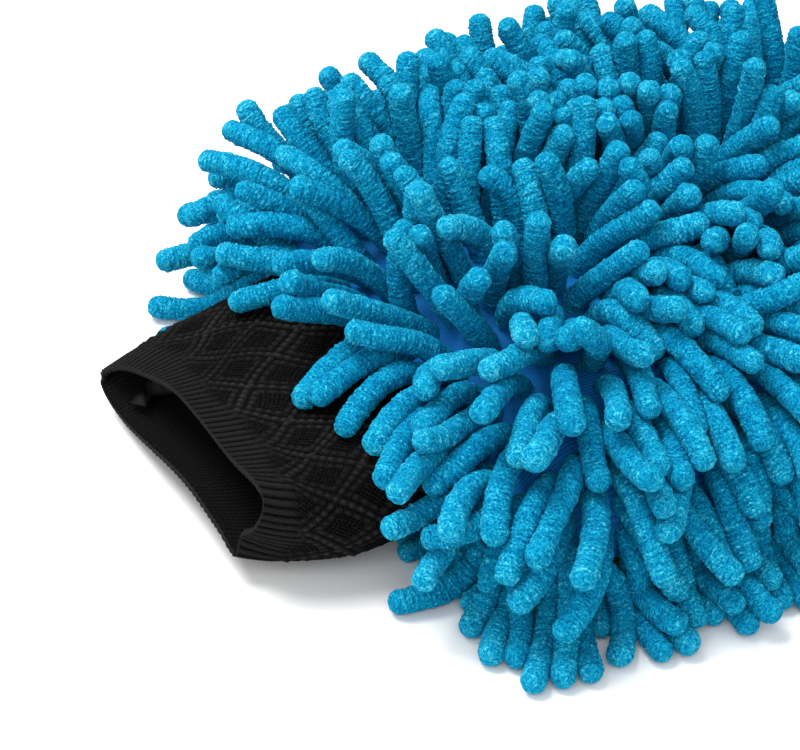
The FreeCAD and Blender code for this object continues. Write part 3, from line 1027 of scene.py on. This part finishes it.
def build_join_seam(thread):
    """The sewn ring that holds the cuff to the panels."""
    share = np.linspace(0, 1, 900, endpoint=False)
    path = cuff_places(share, np.full(len(share), CUFF_LENGTH + 1.5))
    wraps = overlock(CUFF_ROUND, len(share), SEAM_SIDES, 1.6, 2.0)
    mesh = swept_tube("cuff_join_seam_stitching", path, wraps, closed=True)
    seam_piece("cuff_join_seam", mesh, thread, "mitt")


def build_side_seam(knit):
    """The bunched seam allowance that runs inside the far side of the cuff."""
    v = np.linspace(2.0, CUFF_LENGTH - 8, 260)
    path = cuff_places(np.full(len(v), 0.01), v) - np.array([0, 16.0, 3.0])
    path[:, 1] += 0.9 * np.sin(v / 4.2) + 0.5 * np.sin(v / 2.3 + 1)
    path[:, 2] += 0.9 * np.sin(v / 5.1 + 2)
    angle = np.arange(BUNCH_SIDES) / BUNCH_SIDES * TURN
    lumps = soft_noise((len(v), BUNCH_SIDES), (160, 4), 5)
    wraps = np.abs(np.sin(v[:, None] / 2.6 * TURN / 2 + 0.8 * np.cos(angle)))
    opening = np.sqrt(np.clip((v[:, None] - 1.9) / 4.0, 0.05, 1))
    mesh = swept_tube("cuff_side_seam_stitching", path, (3.0 + 0.8 * lumps + 0.25 * wraps) * opening,
                      squash=1.35)
    along = np.append(np.repeat(v, BUNCH_SIDES), v[[0, -1]])
    round_seam = np.append(np.tile(angle * 3.3, len(v)), [0, 0])
    write_attribute(mesh, "knit_place", np.stack([round_seam, along + 5, 0 * along], axis=1))
    write_attribute(mesh, "relief", np.append(0.4 * lumps.ravel(), [0, 0]))
    seam_piece("cuff_side_seam", mesh, knit, "cuff")


# ---------------- materials
PILE_SHADE = (0.001, 0.088, 0.215, 1)
PILE_MIDDLE = (0.002, 0.235, 0.440, 1)
PILE_PALE = (0.009, 0.390, 0.600, 1)
PILE_TIPS = (0.100, 0.620, 0.770, 1)
BACKING_COLOUR = (0.001, 0.090, 0.330, 1)
BACKING_PALE = (0.003, 0.170, 0.480, 1)
KNIT_BLACK = (0.0003, 0.0003, 0.0004, 1)
# A painted highlight colour for raised knit and rib crests.
KNIT_RIDGE_HIGHLIGHT = (0.029, 0.028, 0.028, 1)
RIM_GREY = (0.016, 0.015, 0.015, 1)


def add_node(tree, kind, inputs=None, **settings):
    """A shader node with its settings, and its inputs as sockets or plain values."""
    node = tree.nodes.new("ShaderNode" + kind)
    for key, value in settings.items():
        setattr(node, key, value)
    for key, value in (inputs or {}).items():
        if isinstance(value, bpy.types.NodeSocket):
            tree.links.new(value, node.inputs[key])
        else:
            node.inputs[key].default_value = value
    return node


def cloth_material(name, roughness, specular, sheen, sheen_tint):
    """A new material with a cloth's plain settings, its node tree and its shader."""
    material = bpy.data.materials.new(name)
    material.use_nodes = True
    shader = material.node_tree.nodes["Principled BSDF"]
    shader.inputs["Roughness"].default_value = roughness
    shader.inputs["Specular IOR Level"].default_value = specular
    shader.inputs["Sheen Weight"].default_value = sheen
    shader.inputs["Sheen Tint"].default_value = sheen_tint
    shader.inputs["Sheen Roughness"].default_value = 0.45
    return material, material.node_tree, shader


def read_attribute(tree, name, output):
    return add_node(tree, "Attribute", attribute_name=name).outputs[output]


def math_node(tree, operation, first, second):
    return add_node(tree, "Math", {0: first, 1: second}, operation=operation).outputs[0]


def ramp(tree, factor, stops):
    node = add_node(tree, "ValToRGB", {"Fac": factor})
    elements = node.color_ramp.elements
    while len(elements) < len(stops):
        elements.new(0.5)
    for element, (position, colour) in zip(elements, stops):
        element.position = position
        element.color = colour
    return node.outputs["Color"]


def add_bump(tree, shader, height, strength, distance):
    bump = add_node(tree, "Bump", {"Height": height, "Strength": strength, "Distance": distance})
    tree.links.new(bump.outputs["Normal"], shader.inputs["Normal"])


def pile_material():
    """Chenille: dense tufts with painted shade in the hollows of their relief and painted light on its
    crests, darker at the root and paler at the tips.
    """
    material, tree, shader = cloth_material("chenille", 0.9, 0.02, 0.08, (0.1, 0.85, 1.0, 1))
    place = read_attribute(tree, "pile_place", "Vector")
    relief = read_attribute(tree, "relief", "Fac")
    share = read_attribute(tree, "length_share", "Fac")
    tone = read_attribute(tree, "own_tone", "Fac")
    crosswise = add_node(tree, "Mapping", {"Vector": place, "Scale": (1.7, 1.2, 1.2)}).outputs["Vector"]
    tuft = add_node(tree, "TexNoise",
                    {"Vector": crosswise, "Scale": 0.95, "Detail": 2.0, "Roughness": 0.8})
    fluff = add_node(tree, "TexVoronoi", {"Vector": crosswise, "Scale": 1.2})
    # The relief paints shade into the pile's hollows and light onto its crests.
    painted_relief_light_and_shade = math_node(tree, "MULTIPLY", relief, 0.7)
    speckle = math_node(tree, "MULTIPLY", math_node(tree, "SUBTRACT", tuft.outputs["Fac"], 0.5), 2.3)
    cell = math_node(tree, "MULTIPLY", fluff.outputs["Distance"], -0.4)
    own = math_node(tree, "MULTIPLY", math_node(tree, "SUBTRACT", tone, 0.5), 0.16)
    tips = math_node(tree, "MULTIPLY", math_node(tree, "POWER", share, 3.0), 0.16)
    total = painted_relief_light_and_shade
    for part in (speckle, cell, own, tips, 0.62):
        total = math_node(tree, "ADD", total, part)
    stops = ((0.0, PILE_SHADE), (0.45, PILE_MIDDLE), (0.8, PILE_PALE), (1.0, PILE_TIPS))
    colour = ramp(tree, total, stops)
    tree.links.new(colour, shader.inputs["Base Color"])
    add_bump(tree, shader, tuft.outputs["Fac"], 0.8, 0.0012)
    return material


def knit_material():
    """The cuff: black yarn with painted highlights where the pattern stands up and painted shade in its
    hollows, and a greyer rim.
    """
    material, tree, shader = cloth_material("cuff_knit", 0.8, 0.03, 0.0, (1, 1, 1, 1))
    place = read_attribute(tree, "knit_place", "Vector")
    relief = read_attribute(tree, "relief", "Fac")
    yarn = add_node(tree, "TexNoise", {"Vector": place, "Scale": 1.6, "Detail": 4.0, "Roughness": 0.7})
    # The relief paints a highlight on the pattern's ridges and shade in its hollows; the yarn noise is
    # the yarn's own grain.
    height = math_node(tree, "ADD", math_node(tree, "MULTIPLY", relief, 0.75), 0.05)
    grain = math_node(tree, "ADD", height, math_node(tree, "MULTIPLY", yarn.outputs["Fac"], 0.7))
    body = ramp(tree, grain, ((0.25, KNIT_BLACK), (1.0, KNIT_RIDGE_HIGHLIGHT)))
    split = add_node(tree, "SeparateXYZ", {"Vector": place})
    rim = math_node(tree, "LESS_THAN", split.outputs["Y"], RIM_LENGTH)
    mix = add_node(tree, "Mix", data_type="RGBA")
    tree.links.new(rim, mix.inputs[0])
    tree.links.new(body, mix.inputs[6])
    mix.inputs[7].default_value = RIM_GREY
    tree.links.new(mix.outputs[2], shader.inputs["Base Color"])
    add_bump(tree, shader, yarn.outputs["Fac"], 0.8, 0.0007)
    return material


def ribbed_material(name, dark, pale, pitch, sheen_tint):
    """A fine knit with ribs along the mitt."""
    material, tree, shader = cloth_material(name, 0.75, 0.15, 0.1, sheen_tint)
    place = add_node(tree, "TexCoord").outputs["Object"]
    wave = add_node(tree, "TexWave", {"Vector": place, "Scale": 1 / (pitch * MM * math.pi),
                    "Distortion": 0.6, "Detail": 2.0, "Detail Scale": 2.0}, bands_direction="Y")
    noise = add_node(tree, "TexNoise", {"Vector": place, "Scale": 900.0, "Detail": 3.0})
    # The rib waves paint light on the rib crests and shade in the grooves; the noise adds a random tone.
    total = math_node(tree, "ADD", math_node(tree, "MULTIPLY", wave.outputs["Fac"], 0.7),
                      math_node(tree, "MULTIPLY", noise.outputs["Fac"], 0.4))
    tree.links.new(ramp(tree, total, ((0.1, dark), (0.95, pale))), shader.inputs["Base Color"])
    add_bump(tree, shader, total, 0.7, 0.0005)
    return material


# ---------------- floor, light and camera
FLOOR_REACH = 3.0
CAMERA_AZIMUTH = math.radians(-29.4)
CAMERA_ELEVATION = math.radians(37.5)
CAMERA_ROLL = math.radians(0.5)
CAMERA_TARGET = (-66.0, 9.1, 20.0)
CAMERA_DISTANCE = 850.0
CAMERA_LENS = 122.6


def build_floor():
    mesh = bpy.data.meshes.new("floor")
    corners = [(-FLOOR_REACH, -FLOOR_REACH, 0), (FLOOR_REACH, -FLOOR_REACH, 0),
               (FLOOR_REACH, FLOOR_REACH, 0), (-FLOOR_REACH, FLOOR_REACH, 0)]
    mesh.from_pydata(corners, [], [(0, 1, 2, 3)])
    floor = bpy.data.objects.new("floor", mesh)
    bpy.context.scene.collection.objects.link(floor)
    material, _, shader = cloth_material("floor", 0.9, 0.1, 0.0, (1, 1, 1, 1))
    shader.inputs["Base Color"].default_value = (0.93, 0.93, 0.93, 1)
    mesh.materials.append(material)


def area_light(name, place, target, size, power):
    data = bpy.data.lights.new(name, "AREA")
    data.shape = "DISK"
    data.size = size
    data.energy = power
    light = bpy.data.objects.new(name, data)
    light.location = place
    light.rotation_euler = (Vector(target) - Vector(place)).to_track_quat("-Z", "Y").to_euler()
    bpy.context.scene.collection.objects.link(light)


def build_light():
    world = bpy.data.worlds.new("studio")
    world.use_nodes = True
    background = world.node_tree.nodes["Background"]
    background.inputs["Color"].default_value = (1, 1, 1, 1)
    background.inputs["Strength"].default_value = 0.8
    bpy.context.scene.world = world
    area_light("key", (-0.5, 0.5, 1.6), (0, 0, 0), 0.9, 30)
    area_light("fill", (-0.7, -1.0, 1.3), (0, 0, 0), 1.2, 8)


def build_camera():
    """A long lens that looks down on the cuff from its near side."""
    level = math.cos(CAMERA_ELEVATION)
    right = Vector((math.cos(CAMERA_AZIMUTH), math.sin(CAMERA_AZIMUTH), 0))
    back = Vector((level * right.y, -level * right.x, math.sin(CAMERA_ELEVATION)))
    up = back.cross(right)
    right, up = (math.cos(CAMERA_ROLL) * right + math.sin(CAMERA_ROLL) * up,
                 math.cos(CAMERA_ROLL) * up - math.sin(CAMERA_ROLL) * right)
    data = bpy.data.cameras.new("camera")
    data.lens = CAMERA_LENS
    data.sensor_width = 36.0
    data.clip_start = 0.05
    camera = bpy.data.objects.new("camera", data)
    place = (Vector(CAMERA_TARGET) + CAMERA_DISTANCE * back) * MM
    axes = [[right[axis], up[axis], back[axis], place[axis]] for axis in range(3)]
    camera.matrix_world = Matrix(axes + [[0, 0, 0, 1]])
    bpy.context.scene.collection.objects.link(camera)
    bpy.context.scene.camera = camera


def build_mitt():
    knit = knit_material()
    backing = ribbed_material("backing_knit", BACKING_COLOUR, BACKING_PALE, 1.0, (0.2, 0.6, 1, 1))
    lining = ribbed_material("lining_knit", KNIT_BLACK, KNIT_RIDGE_HIGHLIGHT, 1.2, (1, 1, 1, 1))
    thread = ribbed_material("seam_thread", KNIT_BLACK, KNIT_RIDGE_HIGHLIGHT, 0.8, (1, 1, 1, 1))
    elastic = ribbed_material("elastic", KNIT_BLACK, KNIT_RIDGE_HIGHLIGHT, 1.0, (1, 1, 1, 1))
    build_panels(backing, lining)
    build_cuff(knit, elastic)
    build_edge_seam(thread)
    build_join_seam(thread)
    build_side_seam(knit)
    build_pile(pile_material())


build_mitt()
build_floor()
build_light()
build_camera()
bpy.context.scene.view_settings.view_transform = "Standard"
